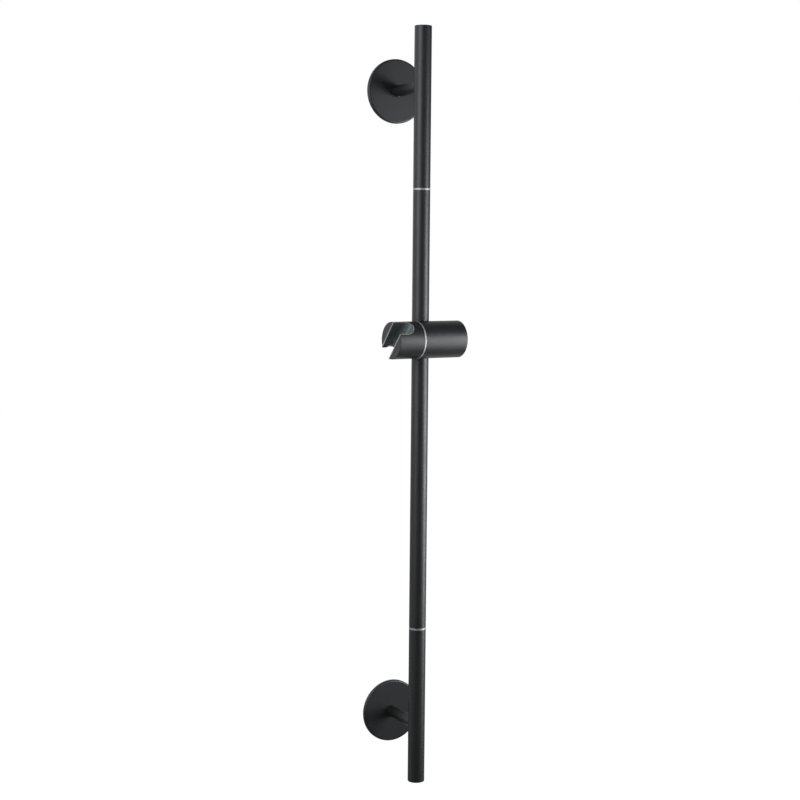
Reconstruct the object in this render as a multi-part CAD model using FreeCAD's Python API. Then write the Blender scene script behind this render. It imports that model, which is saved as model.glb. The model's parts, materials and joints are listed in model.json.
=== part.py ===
import FreeCAD, Part
import math
import os

# Wall-mounted shower slide rail with a clamping slider and a tilting handset holder.
# Millimetres. The wall is the plane y = 0, the room is towards -Y, +Z is up and +X is to the right.
# The origin lies on the wall, midway between the two brackets.

V = FreeCAD.Vector
X_AXIS = V(1, 0, 0)
Y_AXIS = V(0, 1, 0)
Z_AXIS = V(0, 0, 1)

# Rail: three tube lengths screwed together over two bright collars
rail_length = 800.0
tube_outer_d = 18.0
tube_wall = 1.2
tube_end_round = 0.5
collar_height = 2.0
collar_spacing = 465.0
stud_d = 10.0
stud_length = 14.0
insert_length = 20.0
end_plug_length = 6.0

# Wall brackets
bracket_spacing = 675.0
wall_to_rail = 60.0
post_d = 12.5
post_bore_d = 9.0
plate_d = 56.0
plate_thickness = 2.5
plate_spigot_length = 16.0
plate_hole_d = 5.0
plate_hole_spacing = 40.0
plate_countersink_d = 9.6
cover_d = 68.0
cover_depth = 4.0
cover_wall = 0.8
cover_edge_round = 1.8
post_bolt_d = 5.0
post_bolt_head_d = 8.5
post_bolt_head_height = 5.0
post_bolt_key = 4.0
post_web = 11.0
saddle_nut_height = 16.0
saddle_nut_depth = 5.5
grub_d = 4.0
grub_length = 4.3
grub_key = 2.0
grub_from_plate = 7.0
grub_recess = 0.3

# Slider
slider_height = 76.0
slider_turn = 3.3
slider_d = 39.0
slider_offset = 8.5
slider_edge_round = 0.5
shoulder_wall = 0.59
trim_thickness = 1.5
brake_collar_wall = 0.7
brake_collar_height = 8.0
brake_collar_slit = 1.5

# Push button and wedge brake
button_d = 26.0
button_proud = 2.0
button_travel = 2.5
button_edge_round = 0.8
button_flange_d = 30.8
button_skirt_length = 10.0
button_skirt_wall = 2.8
button_end_wall = 2.4
button_boss_length = 3.0
button_bore_depth = 27.3
bezel_thickness = 2.5
web_wall = 5.25
spring_wire_d = 1.2
spring_wire_sides = 8
spring_mean_d = 12.0
spring_turns = 6.0
wedge_angle = 15.0
wedge_thickness = 4.0
wedge_width = 7.0
wedge_tip = 5.5
tang_length = 1.6
shoe_size = 7.0
shoe_thickness = 4.2

# Handset holder
holder_tilt = 40.0
seat_from_end = 9.6
seat_d_top = 17.9
seat_d_bottom = 16.7
liner_slot_width = 20.3
liner_proud = 0.15
relief_depth = 6.0
relief_growth = 1.6
pivot_spigot_d = 26.0
pivot_spigot_length = 6.0
pivot_screw_d = 5.0
pivot_head_d = 8.8
pivot_head_height = 2.1
pivot_head_cover = 0.5
pivot_key = 3.0
pivot_wall = 1.8
pivot_thread_wall = 1.4
washer_d = 12.0
washer_thickness = 0.8

# Clearances
press_gap = 0.02
thread_gap = 0.05
running_gap = 0.06
slide_gap = 0.1
bolt_gap = 0.25

# Worked out from the sizes above
tube_r = tube_outer_d / 2
tube_inner_r = tube_r - tube_wall
rail_top = rail_length / 2
collar_z = collar_spacing / 2
bracket_z = bracket_spacing / 2
post_r = post_d / 2
post_bore_r = post_bore_d / 2
slider_r = slider_d / 2
bar_bore_r = tube_r + running_gap
brake_collar_r = bar_bore_r + brake_collar_wall
collar_groove_r = brake_collar_r + running_gap
shoulder_to_rail = bar_bore_r + shoulder_wall
web_to_rail = bar_bore_r + web_wall
slider_right = web_to_rail + button_bore_depth
trim_left = -(shoulder_to_rail + trim_thickness)
holder_right = trim_left - slide_gap
spigot_end = -(shoulder_to_rail + pivot_spigot_length)
washer_end = spigot_end - washer_thickness
counterbore_end = washer_end - running_gap
head_seat = counterbore_end - pivot_wall
head_top = head_seat - running_gap - pivot_head_height
seat_to_rail = pivot_head_cover + liner_slot_width / 2 - head_top
slider_left = seat_to_rail + seat_from_end
thread_end_y = slider_offset - pivot_screw_d / 2
thread_end = -(math.sqrt(collar_groove_r ** 2 - thread_end_y ** 2) + pivot_thread_wall)
bezel_inner = slider_right - bezel_thickness
button_shoulder = bezel_inner - slide_gap
button_inside = button_shoulder - button_end_wall
button_bore_r = button_flange_d / 2 + running_gap
wedge_slope = math.tan(math.radians(wedge_angle))
wedge_to_rail = brake_collar_r + running_gap + shoe_thickness
slider_axis = V(0, -slider_offset, 0)
long_cut = 4 * slider_d


def cylinder(radius, start, end):
    """A cylinder between two points."""
    along = end - start
    return Part.makeCylinder(radius, along.Length, start, along)


def cone(start_radius, end_radius, start, end):
    """A cone frustum between two points."""
    along = end - start
    return Part.makeCone(start_radius, end_radius, along.Length, start, along)


def block(low, high):
    """A box between its lowest and highest corners."""
    size = high - low
    return Part.makeBox(size.x, size.y, size.z, low)


def ring(outer_radius, inner_radius, start, end):
    """A plain ring between two points."""
    return cylinder(outer_radius, start, end).cut(cylinder(inner_radius, start, end))


def prism(points, along):
    """A straight prism on a closed outline."""
    outline = Part.makePolygon(points + points[:1])
    return Part.Face(outline).extrude(along)


def hex_socket(across_flats, start, along):
    """The hole that a hex key fits, from its mouth inwards."""
    corner = across_flats / math.sqrt(3)
    side = V(0, 0, 1) if abs(along.z) < abs(along.x) + abs(along.y) else V(1, 0, 0)
    other = along.cross(side).normalize()
    points = []
    for step in range(6):
        turn = math.radians(60 * step)
        points.append(start + side * (corner * math.cos(turn)) + other * (corner * math.sin(turn)))
    return prism(points, along)


def rims(shape, radius, centre):
    """The circular edges of one radius about one centre."""
    found = []
    for edge in shape.Edges:
        curve = edge.Curve
        if not isinstance(curve, Part.Circle):
            continue
        if abs(curve.Radius - radius) < 1e-6 and curve.Center.distanceToPoint(centre) < 1e-6:
            found.append(edge)
    return found


def rounded_cylinder(radius, start, end, rounding):
    """A cylinder whose rim at the end point is rounded."""
    plain = cylinder(radius, start, end)
    return plain.makeFillet(rounding, rims(plain, radius, end))


# Rail


def rail_point(z):
    """A point on the rail's axis."""
    return V(0, -wall_to_rail, z)


def tube(low, high, rounded_end=None):
    """A length of rail tube. An end that is open to view has a rounded rim."""
    outer = cylinder(tube_r, rail_point(low), rail_point(high))
    if rounded_end is not None:
        outer = outer.makeFillet(tube_end_round, rims(outer, tube_r, rail_point(rounded_end)))
    return outer.cut(cylinder(tube_inner_r, rail_point(low), rail_point(high)))


def bolt_hole(z):
    """The hole in the back of a tube for a bracket's bolt."""
    return cylinder(post_bolt_d / 2 + bolt_gap, rail_point(z), V(0, 0, z))


def coupler(z):
    """A bright collar with a threaded stud on each side."""
    half = collar_height / 2
    collar = cylinder(tube_r, rail_point(z - half), rail_point(z + half))
    stud = cylinder(stud_d / 2, rail_point(z - half - stud_length), rail_point(z + half + stud_length))
    return collar.fuse(stud).removeSplitter()


def tube_insert(mouth, inwards):
    """The threaded plug pressed into a tube's end, which takes a collar's stud."""
    start = rail_point(mouth)
    end = rail_point(mouth + inwards * insert_length)
    return ring(tube_inner_r - press_gap, stud_d / 2 + thread_gap, start, end)


def end_plug(mouth, inwards):
    """The plug that closes an end of the rail, flush with the tube."""
    start = rail_point(mouth + inwards * end_plug_length)
    return rounded_cylinder(tube_inner_r - press_gap, start, rail_point(mouth), tube_end_round)


def rail_pieces():
    """The three tubes and what joins and closes them."""
    half = collar_height / 2
    upper_low = collar_z + half
    middle_top = collar_z - half
    upper = tube(upper_low, rail_top, rail_top).cut(bolt_hole(bracket_z))
    lower = tube(-rail_top, -upper_low, -rail_top).cut(bolt_hole(-bracket_z))
    return {
        "upper_tube": upper,
        "middle_tube": tube(-middle_top, middle_top),
        "lower_tube": lower,
        "upper_coupler": coupler(collar_z),
        "lower_coupler": coupler(-collar_z),
        "upper_tube_insert": tube_insert(upper_low, 1),
        "middle_top_insert": tube_insert(middle_top, -1),
        "middle_bottom_insert": tube_insert(-middle_top, 1),
        "lower_tube_insert": tube_insert(-upper_low, -1),
        "top_end_plug": end_plug(rail_top, -1),
        "bottom_end_plug": end_plug(-rail_top, 1),
    }


# Wall brackets


def bracket_pieces(side, z):
    """One bracket: wall plate, post, its fastenings and the cover that slides on the post."""
    plate_front = -plate_thickness
    bolt_seat = -(wall_to_rail - tube_r - post_web)
    grub_y = plate_front - grub_from_plate
    grub_top = z - (post_r - grub_recess) + grub_length
    grub_bottom = grub_top - grub_length

    def at(y):
        return V(0, y, z)

    # Wall plate, with a spigot for the post and two countersunk holes
    spigot_r = post_bore_r - running_gap
    plate = cylinder(plate_d / 2, at(0), at(plate_front))
    plate = plate.fuse(cylinder(spigot_r, at(plate_front), at(plate_front - plate_spigot_length)))
    for hole_side in (-1, 1):
        across = V(hole_side * plate_hole_spacing / 2, 0, 0)
        hole_r = plate_hole_d / 2
        sink_r = plate_countersink_d / 2
        plate = plate.cut(cylinder(hole_r, at(0) + across, at(plate_front) + across))
        sink_start = plate_front + sink_r - hole_r
        plate = plate.cut(cone(hole_r, sink_r, at(sink_start) + across, at(plate_front) + across))
    grub_hole = cylinder(grub_d / 2 + thread_gap, V(0, grub_y, z - post_d), V(0, grub_y, grub_top))
    plate = plate.cut(grub_hole).removeSplitter()

    # Post, with a saddle end that fits the tube
    post = cylinder(post_r, at(plate_front), at(-wall_to_rail))
    post = post.cut(cylinder(tube_r + press_gap, rail_point(z - post_d), rail_point(z + post_d)))
    post = post.cut(cylinder(post_bore_r, at(plate_front), at(bolt_seat)))
    post = post.cut(cylinder(post_bolt_d / 2 + bolt_gap, at(bolt_seat), at(-wall_to_rail)))
    post = post.cut(grub_hole)

    # Nut that lies against the inside of the tube
    nut_half = saddle_nut_height / 2
    nut = cylinder(tube_inner_r - press_gap, rail_point(z - nut_half), rail_point(z + nut_half))
    nut_front = -wall_to_rail + tube_inner_r - saddle_nut_depth
    nut = nut.common(block(V(-tube_r, nut_front, z - nut_half), V(tube_r, 0, z + nut_half)))
    nut = nut.cut(cylinder(post_bolt_d / 2 + thread_gap, rail_point(z), at(0)))

    # Bolt through the post into the nut
    bolt_head = bolt_seat + post_bolt_head_height
    bolt = cylinder(post_bolt_d / 2, at(bolt_seat), at(nut_front))
    bolt = bolt.fuse(cylinder(post_bolt_head_d / 2, at(bolt_head), at(bolt_seat)))
    bolt = bolt.cut(hex_socket(post_bolt_key, at(bolt_head), V(0, -post_bolt_head_height / 2, 0)))

    # Grub screw that holds the post on the spigot
    grub = cylinder(grub_d / 2, V(0, grub_y, grub_bottom), V(0, grub_y, grub_top - thread_gap))
    grub = grub.cut(hex_socket(grub_key, V(0, grub_y, grub_bottom), V(0, 0, grub_length / 2)))

    # Pressed cover
    cover = rounded_cylinder(cover_d / 2, at(0), at(-cover_depth), cover_edge_round)
    inner_round = cover_edge_round - cover_wall
    inside_r = cover_d / 2 - cover_wall
    cover = cover.cut(rounded_cylinder(inside_r, at(0), at(-cover_depth + cover_wall), inner_round))
    cover = cover.cut(cylinder(post_r + running_gap, at(0), at(-cover_depth)))

    return {
        side + "_wall_plate": plate,
        side + "_post": post,
        side + "_saddle_nut": nut,
        side + "_post_bolt": bolt.removeSplitter(),
        side + "_grub_screw": grub,
        side + "_cover": cover,
    }


# Slider, drawn about the rail's axis with its own axis along X


def on_axis(x):
    """A point on the slider's own axis."""
    return V(x, -slider_offset, 0)


def upright(radius, half_height):
    """A cylinder about the rail's axis."""
    return cylinder(radius, V(0, 0, -half_height), V(0, 0, half_height))


def slider_body():
    """The turned body: bar bore with collar groove, button bore, wedge channel and pivot spigot."""
    body = rounded_cylinder(slider_r, on_axis(-shoulder_to_rail), on_axis(slider_right), slider_edge_round)
    body = body.fuse(cylinder(pivot_spigot_d / 2, on_axis(spigot_end), on_axis(0)))
    body = body.cut(upright(bar_bore_r, slider_d))
    body = body.cut(upright(collar_groove_r, brake_collar_height / 2 + slide_gap))
    body = body.cut(cylinder(button_bore_r, on_axis(web_to_rail), on_axis(slider_right)))

    half = wedge_width / 2 + slide_gap
    front = -(wedge_back_at(button_inside) + wedge_thickness + slide_gap)
    back = -(wedge_back_at(-wedge_tip) - slide_gap)
    end = -(wedge_tip + button_travel + slide_gap)
    body = body.cut(block(V(end, front, -half), V(web_to_rail, back, half)))

    pocket = shoe_size / 2 + running_gap
    body = body.cut(block(V(-pocket, back, -pocket), V(pocket, -tube_r, pocket)))

    body = body.cut(cylinder(pivot_screw_d / 2 + thread_gap, on_axis(spigot_end), on_axis(thread_end)))
    return body.removeSplitter()


def trim_ring():
    """The bright ring between body and holder."""
    return ring(slider_r, pivot_spigot_d / 2 + press_gap, on_axis(trim_left), on_axis(-shoulder_to_rail))


def brake_collar():
    """The split collar, sprung into a groove of the bar bore, that the shoe squeezes onto the rail."""
    half = brake_collar_height / 2
    collar = ring(brake_collar_r, bar_bore_r, V(0, 0, -half), V(0, 0, half))
    slit = block(V(-brake_collar_slit / 2, 0, -half), V(brake_collar_slit / 2, slider_d, half))
    return collar.cut(slit)


def wedge_back_at(x):
    """How far in front of the rail's axis the wedge's back face lies."""
    shank = wedge_to_rail + wedge_slope * (shoe_size / 2 + button_travel) + slide_gap
    return min(wedge_to_rail + wedge_slope * x, shank)


def wedge_arm():
    """The arm on the button: its thick tip draws the shoe tight, and pressing lets it go."""
    half = wedge_width / 2
    shank_back = -wedge_back_at(button_inside)
    front = shank_back - wedge_thickness
    ramp_end = (-shank_back - wedge_to_rail) / wedge_slope
    outline = [
        V(-wedge_tip, front, -half),
        V(button_inside, front, -half),
        V(button_inside, shank_back, -half),
        V(ramp_end, shank_back, -half),
        V(-wedge_tip, -wedge_back_at(-wedge_tip), -half),
    ]
    return prism(outline, V(0, 0, wedge_width)).fuse(tang(0)).removeSplitter()


def tang(gap):
    """The wedge arm's tang in the button's end wall, grown by a gap for its pocket."""
    half = wedge_width / 4 + gap
    middle = -wedge_back_at(button_inside) - wedge_thickness / 2
    thick = wedge_thickness / 4 + gap
    end = button_inside + tang_length + gap
    return block(V(button_inside, middle - thick, -half), V(end, middle + thick, half))


def button_cap():
    """The push button: a cup with a flange behind the bezel."""
    face = slider_right + button_proud
    cap = rounded_cylinder(button_d / 2, on_axis(button_inside), on_axis(face), button_edge_round)
    skirt_end = button_shoulder - button_skirt_length
    flange_r = button_flange_d / 2
    cap = cap.fuse(cylinder(flange_r, on_axis(skirt_end), on_axis(button_shoulder)))
    cap = cap.cut(cylinder(flange_r - button_skirt_wall, on_axis(skirt_end), on_axis(button_inside)))
    boss_r = (spring_mean_d - spring_wire_d) / 2 - slide_gap
    cap = cap.fuse(cylinder(boss_r, on_axis(button_inside - button_boss_length), on_axis(button_inside)))
    return cap.cut(tang(press_gap)).removeSplitter()


def button_bezel():
    """The ring pressed into the body's end that keeps the button in."""
    outer_r = button_bore_r - press_gap
    return ring(outer_r, button_d / 2 + running_gap, on_axis(bezel_inner), on_axis(slider_right))


def button_spring():
    """The coil spring between the body's web and the button, its wire drawn with flats."""
    wire_r = spring_wire_d / 2
    length = button_inside - web_to_rail - spring_wire_d - 2 * slide_gap
    path = Part.makeHelix(length / spring_turns, length, spring_mean_d / 2)
    corners = []
    for i in range(spring_wire_sides + 1):
        turn = 2 * math.pi * i / spring_wire_sides
        corners.append(V(spring_mean_d / 2 + wire_r * math.cos(turn), 0, wire_r * math.sin(turn)))
    coil = Part.Wire(path).makePipeShell([Part.makePolygon(corners)], True, True)
    coil.rotate(V(0, 0, 0), Y_AXIS, 90)
    coil.translate(on_axis(web_to_rail + wire_r + slide_gap))
    return coil


def brake_shoe():
    """The block between wedge and collar."""
    half = shoe_size / 2
    outline = [V(-half, 0, -half), V(half, 0, -half)]
    for x in (half, -half):
        outline.append(V(x, -(wedge_to_rail + wedge_slope * x) + running_gap, -half))
    return prism(outline, V(0, 0, shoe_size)).cut(upright(brake_collar_r + running_gap, shoe_size))


# Handset holder, drawn with its slot upright and then tilted about the slider's axis


def slot(half_top, half_bottom):
    """A U-shaped slot through the holder, open to the left, with a tapered round end."""
    low = on_axis(-seat_to_rail) - V(0, 0, slider_d)
    high = on_axis(-seat_to_rail) + V(0, 0, slider_d)
    outlines = []
    for centre, half in ((low, half_bottom), (high, half_top)):
        corner = V(0, half, 0)
        left = V(-long_cut, 0, 0)
        points = [centre - corner, centre + corner, centre + corner + left, centre - corner + left]
        outlines.append(Part.makePolygon(points + points[:1]))
    mouth = Part.makeLoft(outlines, True, True)
    if half_top == half_bottom:
        return mouth.fuse(cylinder(half_top, low, high))
    return mouth.fuse(cone(half_bottom, half_top, low, high))


def tilted(shape):
    """Tilt a holder piece to its rest position."""
    turned = shape.copy()
    turned.rotate(slider_axis, X_AXIS, holder_tilt)
    return turned


def holder():
    """The holder: a cylinder with the liner's slot, and a counterbore that turns on the spigot."""
    shell = rounded_cylinder(slider_r, on_axis(holder_right), on_axis(-slider_left), slider_edge_round)
    half = liner_slot_width / 2
    shell = shell.cut(slot(half, half))
    counterbore_r = pivot_spigot_d / 2 + running_gap
    shell = shell.cut(cylinder(counterbore_r, on_axis(counterbore_end), on_axis(holder_right)))
    shell = shell.cut(cylinder(pivot_screw_d / 2 + running_gap, on_axis(-slider_left), on_axis(0)))
    shell = shell.cut(cylinder(pivot_head_d / 2 + slide_gap, on_axis(-slider_left), on_axis(head_seat)))
    return tilted(shell)


def holder_liner():
    """The plastic liner of the slot: its tapered seat takes the handset's cone."""
    half = liner_slot_width / 2 - press_gap
    skin = cylinder(slider_r + liner_proud, on_axis(-slider_left - liner_proud), on_axis(holder_right))
    liner = skin.common(slot(half, half))
    taper = (seat_d_top - seat_d_bottom) / 2 / slider_d
    middle = (seat_d_top + seat_d_bottom) / 4
    liner = liner.cut(slot(middle + taper * slider_d, middle - taper * slider_d))
    underside = on_axis(-seat_to_rail) - V(0, 0, slider_r + liner_proud)
    mouth_r = seat_d_bottom / 2 + relief_growth
    relief = cone(mouth_r, seat_d_bottom / 2, underside, underside + V(0, 0, relief_depth))
    return tilted(liner.cut(relief))


def pivot_screw():
    """The screw that holds the holder on the spigot, hidden behind the liner."""
    seat = head_seat - running_gap
    screw = cylinder(pivot_screw_d / 2, on_axis(seat), on_axis(thread_end - slide_gap))
    screw = screw.fuse(cylinder(pivot_head_d / 2, on_axis(head_top), on_axis(seat)))
    key_hole = hex_socket(pivot_key, on_axis(head_top), V(pivot_head_height / 2, 0, 0))
    return screw.cut(key_hole).removeSplitter()


def pivot_washer():
    """The friction washer between spigot and holder."""
    return ring(washer_d / 2, pivot_screw_d / 2 + running_gap, on_axis(washer_end), on_axis(spigot_end))


def on_rail(shape):
    """Turn a slider piece about the rail and lift it to its place."""
    placed = shape.copy()
    placed.rotate(V(0, 0, 0), Z_AXIS, slider_turn)
    placed.translate(rail_point(slider_height))
    return placed


def slider_pieces():
    """Everything that travels on the rail."""
    pieces = {
        "slider_body": slider_body(),
        "trim_ring": trim_ring(),
        "brake_collar": brake_collar(),
        "brake_shoe": brake_shoe(),
        "wedge_arm": wedge_arm(),
        "button_cap": button_cap(),
        "button_bezel": button_bezel(),
        "button_spring": button_spring(),
        "holder": holder(),
        "holder_liner": holder_liner(),
        "pivot_screw": pivot_screw(),
        "pivot_washer": pivot_washer(),
    }
    return {name: on_rail(shape) for name, shape in pieces.items()}


nodes = rail_pieces()
nodes.update(bracket_pieces("upper", bracket_z))
nodes.update(bracket_pieces("lower", -bracket_z))
nodes.update(slider_pieces())

os.makedirs("parts", exist_ok=True)
for name, shape in nodes.items():
    shape.exportStep("parts/" + name + ".step")
    print(name, len(shape.Solids), shape.isValid(), round(shape.Volume, 1))
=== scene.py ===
# %% [markdown]
# # A matte black shower slide rail
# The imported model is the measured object: every piece is already where it belongs, in metres.
# This lesson dresses it. It reads the pieces, sets up the camera, mixes the finishes, winds the button's
# spring and builds a small white studio.
# Loading the measured pieces, and not modelling them again, keeps every joint and every gap true.

# %% Load the measured pieces
import json
import math

import bpy
from mathutils import Euler, Matrix, Vector


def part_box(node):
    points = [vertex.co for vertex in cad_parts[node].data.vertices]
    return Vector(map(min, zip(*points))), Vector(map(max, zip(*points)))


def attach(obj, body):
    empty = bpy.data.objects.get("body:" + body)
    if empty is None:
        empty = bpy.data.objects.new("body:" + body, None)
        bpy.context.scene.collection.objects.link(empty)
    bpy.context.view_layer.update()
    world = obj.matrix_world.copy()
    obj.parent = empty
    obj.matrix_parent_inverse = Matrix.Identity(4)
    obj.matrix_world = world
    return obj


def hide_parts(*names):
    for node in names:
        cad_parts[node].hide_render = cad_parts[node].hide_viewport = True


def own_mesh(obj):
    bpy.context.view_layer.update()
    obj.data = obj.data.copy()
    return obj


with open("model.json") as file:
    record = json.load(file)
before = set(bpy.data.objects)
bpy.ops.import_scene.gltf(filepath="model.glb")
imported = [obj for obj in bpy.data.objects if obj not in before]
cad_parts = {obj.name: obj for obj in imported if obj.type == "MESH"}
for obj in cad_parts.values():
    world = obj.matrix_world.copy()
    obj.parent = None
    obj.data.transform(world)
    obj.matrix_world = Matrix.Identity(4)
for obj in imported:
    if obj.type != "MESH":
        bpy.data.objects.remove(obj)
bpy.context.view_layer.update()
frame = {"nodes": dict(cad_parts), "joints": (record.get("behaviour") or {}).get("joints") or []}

# %% [markdown]
# ## The camera
# The camera stands to the left of the rail, a little above its middle, and is tipped down. It can be
# pointed with a tracking constraint, or by its own angles. Angles are used here, because the picture also
# leans by half a degree, and a constraint would straighten it.
# The turn about the view line comes last, so it is multiplied on the right.

# %% Place the camera
FRAME_PIXELS = 800
FOCAL_PIXELS = 1629.13
SENSOR_MM = 36.0
CAMERA_PLACE = Vector((-0.8262, -1.5574, 0.1737))
CAMERA_HEADING = math.radians(-28.195)
CAMERA_DIP = math.radians(5.409)
CAMERA_LEAN = math.radians(0.499)

lens = bpy.data.cameras.new("photo_camera")
lens.sensor_width = SENSOR_MM
lens.lens = FOCAL_PIXELS / FRAME_PIXELS * SENSOR_MM
camera = bpy.data.objects.new("photo_camera", lens)
bpy.context.scene.collection.objects.link(camera)
aim = Euler((math.pi / 2 - CAMERA_DIP, 0.0, CAMERA_HEADING)).to_matrix()
aim = aim @ Matrix.Rotation(CAMERA_LEAN, 3, "Z")
camera.matrix_world = Matrix.Translation(CAMERA_PLACE) @ aim.to_4x4()
bpy.context.scene.camera = camera
print("lens: %.2f mm" % lens.lens)

# %% [markdown]
# ## Helpers for nodes
# A finish is a small network of nodes. Each node could be made and linked in lines of its own, but that is
# long and hides the idea. So put makes a node and fills its inputs in one go. An input gets either a plain
# value or a link from another node, and feed does the right one of the two.

# %% Make and wire nodes
def feed(tree, socket, value):
    """Links another node's output to a socket, or writes a plain value into it."""
    if isinstance(value, bpy.types.NodeSocket):
        tree.links.new(value, socket)
    else:
        socket.default_value = value


def put(tree, kind, values=None, **options):
    """A new node of this kind, with its options set and its inputs fed."""
    node = tree.nodes.new(kind)
    for name, option in options.items():
        setattr(node, name, option)
    for name, value in (values or {}).items():
        feed(tree, node.inputs[name], value)
    return node


def calc(tree, operation, a, b=0.0):
    """One step of arithmetic on numbers."""
    return put(tree, "ShaderNodeMath", {0: a, 1: b}, operation=operation).outputs[0]


print("helpers: feed, put and calc")

# %% [markdown]
# ## Node groups
# An effect that several finishes share is built once, as a group with named inputs, and each finish places
# a copy of it with its own values. Copying the nodes into every finish would work too, but then a
# correction has to be made in each of them.

# %% Start and place a node group
VECTOR = "NodeSocketVector"
FLOAT = "NodeSocketFloat"
ORIGIN = (0.0, 0.0, 0.0)


def new_group(name, inputs, outputs):
    """An empty shader node group: its tree, what it is given and what it has to give."""
    tree = bpy.data.node_groups.new(name, "ShaderNodeTree")
    for label, kind, value in inputs:
        tree.interface.new_socket(label, in_out="INPUT", socket_type=kind).default_value = value
    for label in outputs:
        tree.interface.new_socket(label, in_out="OUTPUT", socket_type=FLOAT)
    given = tree.nodes.new("NodeGroupInput").outputs
    return tree, given, tree.nodes.new("NodeGroupOutput").inputs


def place_group(tree, group, values):
    """One copy of a group in a finish, with its own values: its outputs."""
    return put(tree, "ShaderNodeGroup", values, node_tree=group).outputs


print("helpers: new_group and place_group")

# %% [markdown]
# ## Grain of a coat or a moulding
# Powder coat is sprayed on dry and melts into a skin with a very fine pebble. Moulded plastic copies the
# sparked steel of its mould, which looks much the same. One group therefore serves both.
# Pebble is the size of one grain in metres. Mottle is a slow cloudiness, the size of a thumb, that lets the
# gloss drift a little, as it does on every sprayed skin.

# %% Build the grain group
grain_group, given, wanted = new_group(
    "fine grain",
    [("Position", VECTOR, ORIGIN), ("Pebble", FLOAT, 0.0003), ("Mottle Size", FLOAT, 0.02)],
    ["Height", "Mottle"],
)
pebbles_per_metre = calc(grain_group, "DIVIDE", 1.0, given["Pebble"])
pebbles = put(grain_group, "ShaderNodeTexNoise", {
    "Vector": given["Position"], "Scale": pebbles_per_metre, "Detail": 2.0, "Roughness": 0.55})
clouds_per_metre = calc(grain_group, "DIVIDE", 1.0, given["Mottle Size"])
clouds = put(grain_group, "ShaderNodeTexNoise", {
    "Vector": given["Position"], "Scale": clouds_per_metre, "Detail": 3.0, "Roughness": 0.5})
feed(grain_group, wanted["Height"], pebbles.outputs["Fac"])
feed(grain_group, wanted["Mottle"], clouds.outputs["Fac"])
print("group:", grain_group.name, "nodes:", len(grain_group.nodes))

# %% [markdown]
# ## Arithmetic on points
# Some patterns depend on where a point lies: how far along an axis, or how far from a line. The nodes for
# points and directions work that out. Some of their steps give a new point, and others give a length, so
# there is one helper for each.

# %% Work with points
def calc_point(tree, operation, a, b):
    """One step of arithmetic on two points or directions, which gives a third."""
    return put(tree, "ShaderNodeVectorMath", {0: a, 1: b}, operation=operation).outputs["Vector"]


def measure(tree, operation, a, b):
    """A length from two points or directions, such as their distance."""
    return put(tree, "ShaderNodeVectorMath", {0: a, 1: b}, operation=operation).outputs["Value"]


print("helpers: calc_point and measure")

# %% [markdown]
# ## Lines left by the lathe
# The bright rings, the screws and the plates are turned. The tool leaves fine lines that run round the
# axis. They could be a stretched picture, but a ring has an outside and two flat faces, and the lines have
# to run round on all of them. So the group measures how far a point lies along the axis and how far out
# from it, adds the two, and reads a one-dimensional noise there. A second, slower noise gathers the lines
# into streaks.

# %% Build the turned lines group
STREAKS_PER_LINE = 0.23

turned_group, given, wanted = new_group(
    "turned lines",
    [
        ("Position", VECTOR, ORIGIN),
        ("Centre", VECTOR, ORIGIN),
        ("Axis", VECTOR, (0.0, 0.0, 1.0)),
        ("Spacing", FLOAT, 0.0002),
    ],
    ["Height", "Streak", "Along", "Out"],
)
arm = calc_point(turned_group, "SUBTRACT", given["Position"], given["Centre"])
along = measure(turned_group, "DOT_PRODUCT", arm, given["Axis"])
foot = calc_point(turned_group, "MULTIPLY", given["Axis"], along)
out = measure(turned_group, "DISTANCE", arm, foot)
reach = calc(turned_group, "ADD", along, out)
line = calc(turned_group, "DIVIDE", reach, given["Spacing"])
cuts = put(turned_group, "ShaderNodeTexNoise", {
    "W": line, "Scale": 1.0, "Detail": 1.0}, noise_dimensions="1D")
streaks = put(turned_group, "ShaderNodeTexNoise", {
    "W": line, "Scale": STREAKS_PER_LINE, "Detail": 2.0}, noise_dimensions="1D")
feed(turned_group, wanted["Height"], cuts.outputs["Fac"])
feed(turned_group, wanted["Streak"], streaks.outputs["Fac"])
feed(turned_group, wanted["Along"], along)
feed(turned_group, wanted["Out"], out)
print("group:", turned_group.name, "nodes:", len(turned_group.nodes))

# %% [markdown]
# ## Finishes
# Every finish starts from the Principled shader, which stays in the material itself. A number that is the
# same all over goes straight into the shader's socket, where an export keeps it. What changes over the
# surface comes from nodes. They read Object coordinates, so the pattern stays on a piece when it moves.

# %% Start a finish
def new_finish(name, **sockets):
    """A material with its Principled sockets set: its tree, its shader and the Object coordinates."""
    material = bpy.data.materials.new(name)
    material.use_nodes = True
    tree = material.node_tree
    shader = tree.nodes["Principled BSDF"]
    for label, value in sockets.items():
        shader.inputs[label.replace("_", " ")].default_value = value
    return material, tree, shader, put(tree, "ShaderNodeTexCoord").outputs["Object"]


print("helper: new_finish")

# %% [markdown]
# ## What changes over the surface
# The colour goes from one tone to another, the roughness drifts between two values, and a bump makes the
# surface look slightly uneven. Real dents would look the same from here and need far more faces.
# A noise lies mostly between 0.3 and 0.7, so for the roughness fade stretches that part to the full drift.

# %% Vary colour, gloss and relief
NOISE_LOW = 0.3
NOISE_HIGH = 0.7


def fade(tree, value, start, full, low=0.0, high=1.0):
    """Goes from low to high while the value goes from start to full, and stays there."""
    return put(tree, "ShaderNodeMapRange", {
        "Value": value, "From Min": start, "From Max": full, "To Min": low, "To Max": high,
    }).outputs["Result"]


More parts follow.
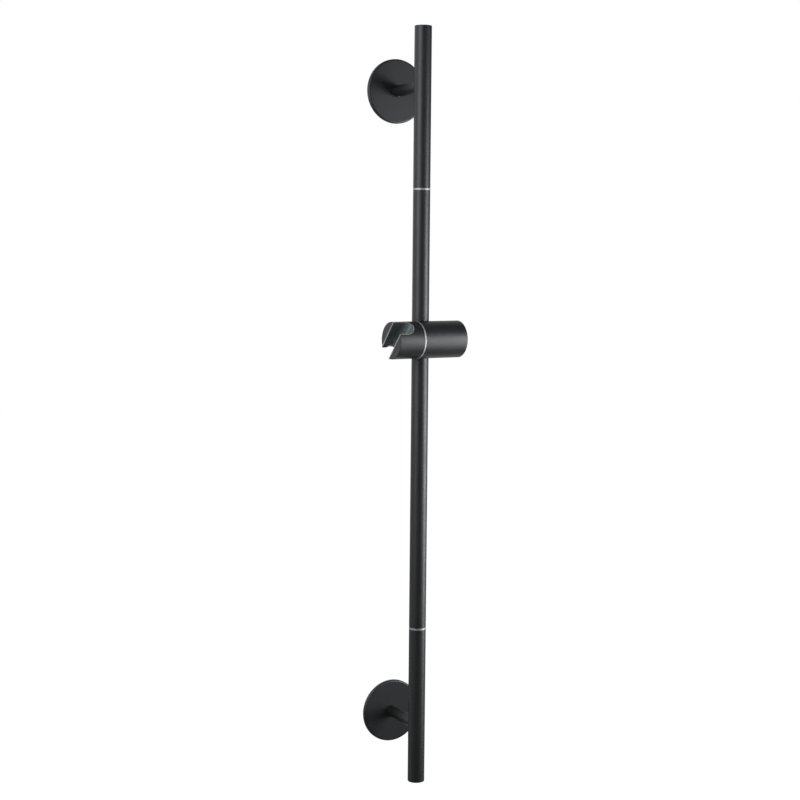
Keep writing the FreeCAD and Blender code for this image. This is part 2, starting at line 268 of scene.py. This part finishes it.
def blend_tones(tree, mask, dark, light):
    """A colour that goes from one tone to another with the mask; a tone may come from another node."""
    mix = put(tree, "ShaderNodeMix", {"Factor": mask}, data_type="RGBA")
    colour_sockets = [socket for socket in mix.inputs if socket.type == "RGBA"]
    for socket, tone in zip(colour_sockets, (dark, light)):
        feed(tree, socket, tone if isinstance(tone, bpy.types.NodeSocket) else (*tone, 1.0))
    return next(socket for socket in mix.outputs if socket.type == "RGBA")


def tint(tree, shader, mask, dark, light):
    """Lets the colour go from one tone to another with the mask."""
    feed(tree, shader.inputs["Base Color"], blend_tones(tree, mask, dark, light))


def roughen(tree, shader, noise, low, high):
    """Lets the roughness drift between low and high with a noise."""
    feed(tree, shader.inputs["Roughness"], fade(tree, noise, NOISE_LOW, NOISE_HIGH, low, high))


def emboss(tree, shader, height, depth, strength):
    """Turns a height into a bump on the shader's normal; depth is in metres."""
    bump = put(tree, "ShaderNodeBump", {"Height": height, "Distance": depth, "Strength": strength})
    feed(tree, shader.inputs["Normal"], bump.outputs["Normal"])


print("helpers: fade, blend_tones, tint, roughen and emboss")

# %% [markdown]
# ## Matte black coat
# Rail, brackets, slider and holder share one dry black powder coat. It isn't truly black: in the light it
# is a dark neutral grey, and its sheen is wide, soft and slightly cool. A roughness near a half gives that,
# and the grain breaks up the highlight when you come close. The grain stays weak, because from the side a
# strong one would sparkle. The coat could be one flat colour, but then every piece would look like a
# drawing.

# %% Give a finish its grain
def add_grain(tree, shader, spot, pebble, mottle, rough, depth, strength):
    """Gives a shader the pebble and the drifting gloss of the grain group: its mottle, for the colour."""
    grain = place_group(tree, grain_group, {"Position": spot, "Pebble": pebble, "Mottle Size": mottle})
    roughen(tree, shader, grain["Mottle"], *rough)
    emboss(tree, shader, grain["Height"], depth, strength)
    return grain["Mottle"]


print("helper: add_grain")

# %% Mix the black coat
black_coat, tree, shader, spot = new_finish(
    "matte_black_coat", Specular_IOR_Level=0.75, Specular_Tint=(0.93, 0.97, 1.0, 1.0))
mottle = add_grain(
    tree, shader, spot, pebble=0.00032, mottle=0.03, rough=(0.44, 0.50), depth=0.00002, strength=0.20)
tint(tree, shader, mottle, dark=(0.0062, 0.0064, 0.0067), light=(0.0092, 0.0094, 0.0097))
print("finish:", black_coat.name)

# %% [markdown]
# ## Moulded black plastic
# The plugs in the rail's ends and the hidden brake collar and shoe are plain black mouldings. They could
# share the coat, but a mould's sparked grain is coarser than a sprayed one, so they use the same group with
# a larger pebble.

# %% Mix the black plastic
black_plastic, tree, shader, spot = new_finish("moulded_black", Specular_IOR_Level=0.5)
mottle = add_grain(
    tree, shader, spot, pebble=0.0004, mottle=0.012, rough=(0.46, 0.54), depth=0.00002, strength=0.3)
tint(tree, shader, mottle, dark=(0.010, 0.010, 0.011), light=(0.016, 0.016, 0.017))
print("finish:", black_plastic.name)

# %% [markdown]
# ## Measure the slider
# Some finishes need the place and the axis of the piece that they are on. Sizes typed in by hand would go
# stale when the model changes, and the pieces already know them. The slider's centre and radius come from
# its trim ring, and its axis from the joint that tilts the holder.


def centre_of(node):
    """The middle of a piece's box."""
    low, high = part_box(node)
    return (low + high) / 2


def joint_named(name):
    """A joint of the model, by its name."""
    return next(joint for joint in frame["joints"] if joint["name"] == name)


rail_centre = centre_of("middle_tube")
slider_centre = centre_of("trim_ring")
slider_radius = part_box("trim_ring")[1].z - slider_centre.z
slider_axis = Vector(joint_named("holder_tilt")["axis"]).normalized()
to_bar = slider_axis if slider_axis.dot(rail_centre - slider_centre) > 0 else -slider_axis
print("slider axis:", [round(v, 4) for v in slider_axis])

# %% [markdown]
# ## Measure the slot
# The finish of the slot's liner changes from place to place, so the slot is measured too. The largest of
# the liner's faces that run along the slider's axis belong to the slot's two walls, and they give the way
# across the slot. Its round end starts half the liner's width before the liner's deepest point. That place
# is called the seat.

# %% Find the slot's walls and seat
FLAT_ENOUGH = 0.001

liner_mesh = frame["nodes"]["holder_liner"].data
walls = [face for face in liner_mesh.polygons if abs(face.normal.dot(slider_axis)) < FLAT_ENOUGH]
slot_side = max(walls, key=lambda face: face.area).normal.copy()
slot_down = slider_axis.cross(slot_side)
slot_down = slot_down if slot_down.z < 0 else -slot_down


def liner_reach(way):
    """How far the liner reaches from the slider's centre along a direction."""
    return max((v.co - slider_centre).dot(way) for v in liner_mesh.vertices)


liner_half = (liner_reach(slot_side) + liner_reach(-slot_side)) / 2
open_end = liner_reach(-to_bar)
seat_point = slider_centre + to_bar * (liner_reach(to_bar) - liner_half)

# %% [markdown]
# ## The slot liner
# The liner in the holder's slot is a softer, slightly blue-grey plastic, because it has to grip the cone of
# a hand shower without scratching it. Its walls are dark and glossy. At the seat and at the slot's lower
# mouth its colour is painted paler: painted light, standing in for the light that those places catch.
# Such a pale patch could be painted on by hand, but a rule is easier to change: how far a point lies past
# the seat, or down the slot, sets how pale it is.

# %% Mix the liner plastic
MOUTH_START = -0.001
MOUTH_FULL = 0.008
MOUTH_LIGHT_SHARE = 0.65
WALL_TONE = (0.055, 0.068, 0.072)
# Painted light: the paler tone given to the seat and the slot's lower mouth.
PAINTED_LIGHT_TONE = (0.200, 0.240, 0.246)

liner_plastic, tree, shader, spot = new_finish("liner_grey", Specular_IOR_Level=1.0)
add_grain(
    tree, shader, spot, pebble=0.0003, mottle=0.012, rough=(0.10, 0.16), depth=0.000012, strength=0.15)
from_seat = calc_point(tree, "SUBTRACT", spot, seat_point)
past_seat = measure(tree, "DOT_PRODUCT", from_seat, to_bar)
down_slot = measure(tree, "DOT_PRODUCT", from_seat, slot_down)
# Painted light: these masks make the seat and the slot's lower mouth paler in colour.
seat_light_mask = fade(tree, past_seat, 0.0, liner_half)
mouth_light_mask = fade(tree, down_slot, MOUTH_START, MOUTH_FULL, high=MOUTH_LIGHT_SHARE)
painted_light_mask = calc(tree, "MAXIMUM", seat_light_mask, mouth_light_mask)
liner_tone = blend_tones(tree, painted_light_mask, WALL_TONE, PAINTED_LIGHT_TONE)
print("finish:", liner_plastic.name)

# %% [markdown]
# ## The liner's painted rim highlight and gap shade
# A thin light line runs round the slot: painted highlight, for the light that the liner's edge catches. It
# could be modelled as a bevel that catches the light itself, but here it is painted into the colour.
# A point belongs to the rim if it lies as far out from the slider's axis as the slider's own skin, or as
# far along it as the slot's open end. The turned lines group already measures both. On the skin the rim is
# dimmer.
# Where the rim meets the holder, a narrow dark band is painted shade, for the shadow in the gap between the
# liner and the holder. It is found by the distance from the slot's middle line, which ends at the seat, so
# that the band turns round the seat with the slot.

# %% Add the painted rim highlight and the painted gap shade
RIM_WIDTH = 0.0003
RIM_SOLID = 0.0001
RIM_HIGHLIGHT_TONE = (0.430, 0.455, 0.460)
SKIN_RIM = 0.55
GAP_SHADE_WIDTH = 0.0005
GAP_SHADE_TONE = (0.004, 0.004, 0.004)

place = place_group(tree, turned_group, {"Position": spot, "Centre": slider_centre, "Axis": slider_axis})
# Painted highlight: a light line along the liner's edges, dimmer on the skin.
on_skin = fade(tree, place["Out"], slider_radius - RIM_WIDTH, slider_radius, high=SKIN_RIM)
sideways = calc(tree, "ABSOLUTE", place["Along"])
on_end = fade(tree, sideways, open_end - RIM_WIDTH, open_end - RIM_SOLID)
rim = calc(tree, "MAXIMUM", on_skin, on_end)
edged_tone = blend_tones(tree, rim, liner_tone, RIM_HIGHLIGHT_TONE)

# Painted shade: a dark band along the gap where the liner meets the holder.
across = measure(tree, "DOT_PRODUCT", from_seat, slot_side)
ahead = calc(tree, "MAXIMUM", past_seat, 0.0)
off_middle = put(tree, "ShaderNodeCombineXYZ", {"X": across, "Y": ahead}).outputs[0]
outward = measure(tree, "DISTANCE", off_middle, ORIGIN)
clear_of_gap_shade = calc(tree, "LESS_THAN", outward, liner_half - GAP_SHADE_WIDTH)
tint(tree, shader, clear_of_gap_shade, dark=GAP_SHADE_TONE, light=edged_tone)

# %% [markdown]
# ## Metals
# The rings are satin steel: they catch the light as a pale line and mirror nothing sharply. The plates and
# screws are zinc plated, which is smoother and a little blue. The inserts and the nuts inside the tube are
# brass. One metal could serve them all, but bare brass and plated steel are told apart at a glance when the
# rail is taken down.
# The lines have to run round each piece's own axis, so every finish is given a centre and an axis.

# %% Describe a turned metal
STREAK_SHADE = 0.9
ROUGH_DRIFT = 0.05


def turned(name, colour, centre, axis, rough, spacing, depth):
    """A turned metal whose lines run round an axis."""
    material, tree, shader, spot = new_finish(name, Metallic=1.0)
    lines = place_group(tree, turned_group, {
        "Position": spot, "Centre": centre, "Axis": axis, "Spacing": spacing})
    shade = [part * STREAK_SHADE for part in colour]
    tint(tree, shader, lines["Streak"], dark=shade, light=colour)
    roughen(tree, shader, lines["Streak"], rough - ROUGH_DRIFT, rough + ROUGH_DRIFT)
    emboss(tree, shader, lines["Height"], depth, strength=0.3)
    return material


print("helper: turned")

# %% Mix the metals
RAIL_AXIS = (0.0, 0.0, 1.0)
WALL_AXIS = (0.0, 1.0, 0.0)
FINE_CUT = {"spacing": 0.00015, "depth": 0.000006}
COARSE_CUT = {"spacing": 0.0003, "depth": 0.00001}
DRAWN = {"spacing": 0.0002, "depth": 0.000005}
STEEL = (0.47, 0.48, 0.49)
TRIM_STEEL = (0.57, 0.58, 0.59)
SPRING_STEEL = (0.45, 0.45, 0.46)
ZINC = (0.52, 0.54, 0.56)
BRASS = (0.72, 0.52, 0.25)

ring_steel = turned("ring_steel_rail", STEEL, rail_centre, RAIL_AXIS, rough=0.58, **FINE_CUT)
trim_steel = turned("ring_steel_slider", TRIM_STEEL, slider_centre, slider_axis, rough=0.66, **FINE_CUT)
insert_brass = turned("insert_brass", BRASS, rail_centre, RAIL_AXIS, rough=0.30, **COARSE_CUT)
wire_steel = turned("spring_wire", SPRING_STEEL, slider_centre, slider_axis, rough=0.32, **DRAWN)
pivot_zinc = turned("pivot_zinc", ZINC, slider_centre, slider_axis, rough=0.36, **COARSE_CUT)
bracket_zinc = {}
for side in ("upper", "lower"):
    post_centre = centre_of(side + "_post")
    bracket_zinc[side] = turned(side + "_zinc", ZINC, post_centre, WALL_AXIS, rough=0.38, **COARSE_CUT)
metals = (ring_steel, trim_steel, insert_brass, wire_steel, pivot_zinc, *bracket_zinc.values())
print("metals:", [metal.name for metal in metals])

# %% [markdown]
# ## Dress the pieces
# Each piece of the model gets its finish by name. A line for every piece would do it as well, but most of
# them are black. So a table names only the others, and what it doesn't name gets the black coat. The
# printed list shows at once if a name is missing from the table.

# %% Give every piece its finish
finish_of = {
    "upper_coupler": ring_steel,
    "lower_coupler": ring_steel,
    "trim_ring": trim_steel,
    "pivot_screw": pivot_zinc,
    "pivot_washer": pivot_zinc,
    "wedge_arm": pivot_zinc,
    "button_spring": wire_steel,
    "holder_liner": liner_plastic,
}
for name in ("upper_tube_insert", "middle_top_insert", "middle_bottom_insert", "lower_tube_insert"):
    finish_of[name] = insert_brass
for name in ("top_end_plug", "bottom_end_plug", "brake_collar", "brake_shoe"):
    finish_of[name] = black_plastic
for side, zinc in bracket_zinc.items():
    finish_of[side + "_saddle_nut"] = insert_brass
    for name in ("wall_plate", "post_bolt", "grub_screw"):
        finish_of[side + "_" + name] = zinc
for name, piece in frame["nodes"].items():
    piece.data.materials.clear()
    piece.data.materials.append(finish_of.get(name, black_coat))
print("coated black:", sorted(set(frame["nodes"]) - set(finish_of)))

# %% [markdown]
# ## The button's spring
# Behind the push button sits a coil spring. A coiling machine feeds wire past a roller that bends it into a
# circle and a finger that sets the pitch. The finger eases off for the first and the last turn, so the ends
# lie nearly flat and push evenly.
# The measured model has a simple coil with a flat-sided wire. Here the wire follows the same rule as in the
# machine. A screw modifier could wind it as well, but only with an even pitch. Geometry Nodes can ease the
# pitch, and the turns, the lengths and the wire stay named inputs.

# %% Name the coil's inputs
COIL_INPUTS = {
    "Coil Radius": FLOAT,
    "Wire Radius": FLOAT,
    "Height": FLOAT,
    "Turns": FLOAT,
    "Flat Ends": FLOAT,
    "Steps": "NodeSocketInt",
    "Wire Sides": "NodeSocketInt",
    "Place": VECTOR,
    "Turn": "NodeSocketRotation",
    "Finish": "NodeSocketMaterial",
}
coil_tree = bpy.data.node_groups.new("coil spring", "GeometryNodeTree")
coil_tree.interface.new_socket("Geometry", in_out="OUTPUT", socket_type="NodeSocketGeometry")
coil_sockets = {}
for label, kind in COIL_INPUTS.items():
    socket = coil_tree.interface.new_socket(label, in_out="INPUT", socket_type=kind)
    coil_sockets[label] = socket.identifier
given = coil_tree.nodes.new("NodeGroupInput").outputs
wanted = coil_tree.nodes.new("NodeGroupOutput").inputs
print("coil inputs:", list(coil_sockets))

# %% [markdown]
# ## Bend a line into a helix
# The coil starts as a straight line of many points. Each point knows its share of the line, from 0 to 1.
# The share sets the angle round the coil, and the height along it. The height mixes an even climb with one
# that starts and ends slowly, and Flat Ends is the part of the slow one.

# %% Work out the helix
share = put(coil_tree, "GeometryNodeSplineParameter").outputs["Factor"]
turns_done = calc(coil_tree, "MULTIPLY", share, given["Turns"])
angle = calc(coil_tree, "MULTIPLY", turns_done, math.tau)
circle = put(coil_tree, "ShaderNodeCombineXYZ", {
    "X": calc(coil_tree, "COSINE", angle), "Y": calc(coil_tree, "SINE", angle)}).outputs[0]
circle = calc_point(coil_tree, "MULTIPLY", circle, given["Coil Radius"])
eased = put(coil_tree, "ShaderNodeMapRange", {"Value": share}, interpolation_type="SMOOTHSTEP")
climb = put(coil_tree, "ShaderNodeMix", {
    "Factor": given["Flat Ends"], "A": share, "B": eased.outputs["Result"]})
height = calc(coil_tree, "MULTIPLY", climb.outputs["Result"], given["Height"])
lift = put(coil_tree, "ShaderNodeCombineXYZ", {"Z": height}).outputs[0]
helix = calc_point(coil_tree, "ADD", circle, lift)
print("helix nodes:", len(coil_tree.nodes))

# %% [markdown]
# ## Sweep the wire
# A round section is swept along the helix, and the result is turned and moved to its place in the slider.
# The tree ends in plain mesh with its finish, so that nothing depends on the tree later.

# %% Sweep the wire along the helix
line = put(coil_tree, "GeometryNodeCurvePrimitiveLine").outputs[0]
line = put(coil_tree, "GeometryNodeResampleCurve", {"Curve": line, "Count": given["Steps"]}).outputs[0]
coil = put(coil_tree, "GeometryNodeSetPosition", {"Geometry": line, "Position": helix}).outputs[0]
section = put(coil_tree, "GeometryNodeCurvePrimitiveCircle", {
    "Resolution": given["Wire Sides"], "Radius": given["Wire Radius"]}).outputs["Curve"]
wire = put(coil_tree, "GeometryNodeCurveToMesh", {
    "Curve": coil, "Profile Curve": section, "Fill Caps": True}).outputs[0]
wire = put(coil_tree, "GeometryNodeTransform", {
    "Geometry": wire, "Translation": given["Place"], "Rotation": given["Turn"]}).outputs[0]
wire = put(coil_tree, "GeometryNodeRealizeInstances", {"Geometry": wire}).outputs[0]
wire = put(coil_tree, "GeometryNodeSetMaterial", {
    "Geometry": wire, "Material": given["Finish"]}).outputs[0]
feed(coil_tree, wanted["Geometry"], wire)
print("coil tree nodes:", len(coil_tree.nodes))

# %% [markdown]
# ## Measure the coil
# The sizes are read from the measured coil, so the new one fills the same room. Each of its points is split
# into a depth along the button's way and a radius from it. The largest and the smallest radius lie one wire
# apart.

# %% Measure the model's coil
press = joint_named("button_press")
press_axis = Vector(press["axis"]).normalized()
coil_points = [v.co - slider_centre for v in frame["nodes"]["button_spring"].data.vertices]
depths = [point.dot(press_axis) for point in coil_points]
radii = [(point - press_axis * depth).length for point, depth in zip(coil_points, depths)]
wire_radius = (max(radii) - min(radii)) / 2
coil_radius = (max(radii) + min(radii)) / 2
coil_length = max(depths) - min(depths)
wire_start = slider_centre + press_axis * (min(depths) + wire_radius)

# %% [markdown]
# ## Wind the spring
# The tree is run once on an empty object, and its result becomes a plain mesh. The tree could stay on as a
# live modifier, but a plain mesh is easier to pose and to export. Each input is set by its socket's
# identifier, because two inputs may share a name.

# %% Wind the spring
COIL_TURNS = 6
STEPS_PER_TURN = 40

coil_values = {
    "Coil Radius": coil_radius,
    "Wire Radius": wire_radius,
    "Height": coil_length - 2 * wire_radius,
    "Turns": float(COIL_TURNS),
    "Flat Ends": 0.5,
    "Steps": COIL_TURNS * STEPS_PER_TURN + 1,
    "Wire Sides": 12,
    "Place": wire_start,
    "Turn": press_axis.to_track_quat("Z", "Y").to_euler(),
    "Finish": wire_steel,
}
blank = bpy.data.objects.new("spring_blank", bpy.data.meshes.new("spring_blank"))
bpy.context.scene.collection.objects.link(blank)
winder = blank.modifiers.new("winder", "NODES")
winder.node_group = coil_tree
for label, value in coil_values.items():
    winder[coil_sockets[label]] = value
wound = blank.evaluated_get(bpy.context.evaluated_depsgraph_get())
spring_mesh = bpy.data.meshes.new_from_object(wound)
blank.modifiers.remove(winder)
bpy.data.objects.remove(blank)
spring_mesh.shade_smooth()
print("spring faces:", len(spring_mesh.polygons))

# %% [markdown]
# ## Put the spring on the slider
# The wound spring stands in for the model's coil, which is hidden, and rides on the slider.

# %% Put the spring on the slider
spring = bpy.data.objects.new("wound_spring", spring_mesh)
bpy.context.scene.collection.objects.link(spring)
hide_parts("button_spring")
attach(spring, "slider")
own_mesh(spring)

# %% [markdown]
# ## A white studio
# The rail stands against pure white, with no wall. A slide rail hangs with its middle about 1.5 metres up,
# so the floor lies that far below. It could be a curved backdrop, but a large plain sheet is enough,
# because its edges are never seen.

# %% Lay the floor
FLOOR_Z = -1.5
FLOOR_HALF = 14.0

corners = [(-1, -1), (1, -1), (1, 1), (-1, 1)]
floor_points = [(FLOOR_HALF * x, FLOOR_HALF * y, FLOOR_Z) for x, y in corners]
floor_mesh = bpy.data.meshes.new("floor")
floor_mesh.from_pydata(floor_points, [], [(0, 1, 2, 3)])
floor = bpy.data.objects.new("floor", floor_mesh)
bpy.context.scene.collection.objects.link(floor)
print("floor at z = %.1f m" % FLOOR_Z)

# %% [markdown]
# ## White to the camera, dim to the object
# The picture's ground is white, but so much white would also light the object from all sides. More lamps
# could whiten the ground, and they would bleach the object too. The Light Path node does it without them:
# it tells what kind of ray arrives. Rays from the camera meet white. Mirror rays meet white only in chosen
# places, and all other rays meet none.

# %% Tell the rays apart
WHITE = (1.0, 1.0, 1.0, 1.0)


def white_share(tree, in_mirror):
    """1 for rays from the camera or through glass, and the share in_mirror for rays from a mirror."""
    path = put(tree, "ShaderNodeLightPath").outputs
    mirrored = calc(tree, "MULTIPLY", path["Is Glossy Ray"], in_mirror)
    through = calc(tree, "MAXIMUM", path["Is Camera Ray"], path["Is Transmission Ray"])
    return calc(tree, "MAXIMUM", through, mirrored)


print("helper: white_share")

# %% [markdown]
# ## The floor's paint
# To the camera the floor is almost white by itself, with just enough lit paint in it to keep a shadow. To
# the object it is plain pale paint.
# In a mirror it is white in three lit patches. The one behind the rail draws the light line along the
# slider's underside, the one at the left the streak in the slot's round end, and the far one at the left
# lights the holder's two ends. Elsewhere it stays paint, so the bar's lower end keeps its dark edges. An
# evenly white floor would be simpler, but it would take those edges away.

# %% Paint the floor
FLOOR_PAINT = 0.8
SHADOW_PAINT = 0.35
FLOOR_GLOW = 0.97
# Each patch: x and y of its centre, radius of its bright core and of its faded edge
LIT_PATCHES = {
    "behind": (1.4, 2.6, 0.8, 2.8),
    "left": (-3.4, 1.8, 0.5, 1.5),
    "far left": (-6.0, 11.0, 3.0, 6.0),
}


def grey_paint(tree, level):
    """Matte paint of one grey level."""
    return put(tree, "ShaderNodeBsdfDiffuse", {"Color": (level, level, level, 1.0)}).outputs[0]


paper = bpy.data.materials.new("pale_paper")
paper.use_nodes = True
tree = paper.node_tree
tree.nodes.remove(tree.nodes["Principled BSDF"])
glow = put(tree, "ShaderNodeEmission", {"Color": WHITE, "Strength": FLOOR_GLOW}).outputs[0]
white = put(tree, "ShaderNodeAddShader", {0: grey_paint(tree, SHADOW_PAINT), 1: glow}).outputs[0]
spot = put(tree, "ShaderNodeTexCoord").outputs["Object"]
patches = 0.0
for x, y, core, edge in LIT_PATCHES.values():
    away = measure(tree, "DISTANCE", spot, (x, y, FLOOR_Z))
    patches = calc(tree, "MAXIMUM", patches, fade(tree, away, edge, core))
shown = put(tree, "ShaderNodeMixShader", {
    0: white_share(tree, patches), 1: grey_paint(tree, FLOOR_PAINT), 2: white}).outputs[0]
feed(tree, tree.nodes["Material Output"].inputs["Surface"], shown)
floor_mesh.materials.append(paper)
print("lit patches:", list(LIT_PATCHES))

# %% [markdown]
# ## The room
# The camera sees white all round. The rail itself stands in a dim room whose back wall is white, so mirror
# rays meet white behind the rail and a little to its left, and a soft grey in front of it. That keeps the
# middle of the bar dark while its edges stay readable. A picture of a real room would bring its own shapes
# into the highlights, and two plain levels with a fade between them don't.

# %% Light the room
ROOM_LEVEL = 0.11
WHITE_SIDE = (-0.3, 0.95, 0.0)
WHITE_FROM = 0.0
WHITE_FULL = 0.9

world = bpy.data.worlds.new("studio")
bpy.context.scene.world = world
world.use_nodes = True
tree = world.node_tree
direction = put(tree, "ShaderNodeTexCoord").outputs["Generated"]
backward = measure(tree, "DOT_PRODUCT", direction, WHITE_SIDE)
behind = fade(tree, backward, WHITE_FROM, WHITE_FULL)
level = fade(tree, white_share(tree, behind), 0.0, 1.0, low=ROOM_LEVEL)
background = tree.nodes["Background"]
background.inputs["Color"].default_value = WHITE
feed(tree, background.inputs["Strength"], level)
print("room level:", ROOM_LEVEL)

# %% [markdown]
# ## Two soft boxes
# The bar shows two long highlights, one left of its middle and one near its right edge, and the slider
# shows one across its middle. The mirror law on those three gives the boxes: a small near one to the right,
# level with the rail's middle, whose light falls off towards the rail's ends, and a larger one to the left,
# hung higher. Point lamps would give hard dots. Area lamps are used because their edges fade the way a soft
# box does.

# %% Hang the soft boxes
def soft_box(name, azimuth, height, distance, width, tall, watts):
    """A rectangular lamp that faces the rail; azimuth 0 is straight in front, positive to the right."""
    lamp = bpy.data.lights.new(name, "AREA")
    lamp.shape = "RECTANGLE"
    lamp.size = width
    lamp.size_y = tall
    lamp.energy = watts
    turn = math.radians(azimuth)
    target = Vector((0.0, rail_centre.y, height))
    stand = target + Vector((math.sin(turn), -math.cos(turn), 0.0)) * distance
    facing = (target - stand).to_track_quat("-Z", "Z").to_matrix().to_4x4()
    box = bpy.data.objects.new(name, lamp)
    box.matrix_world = Matrix.Translation(stand) @ facing
    box.visible_camera = False
    bpy.context.scene.collection.objects.link(box)


soft_box("soft_box_right", azimuth=56.0, height=-0.05, distance=0.72, width=0.72, tall=0.36, watts=6.9)
soft_box("soft_box_left", azimuth=-69.0, height=0.46, distance=1.1, width=1.2, tall=0.75, watts=8.4)

# %% [markdown]
# ## View
# The Standard view shows colours as they are mixed, where a filmic one would grey the white.

# %% Set the view
bpy.context.scene.view_settings.view_transform = "Standard"
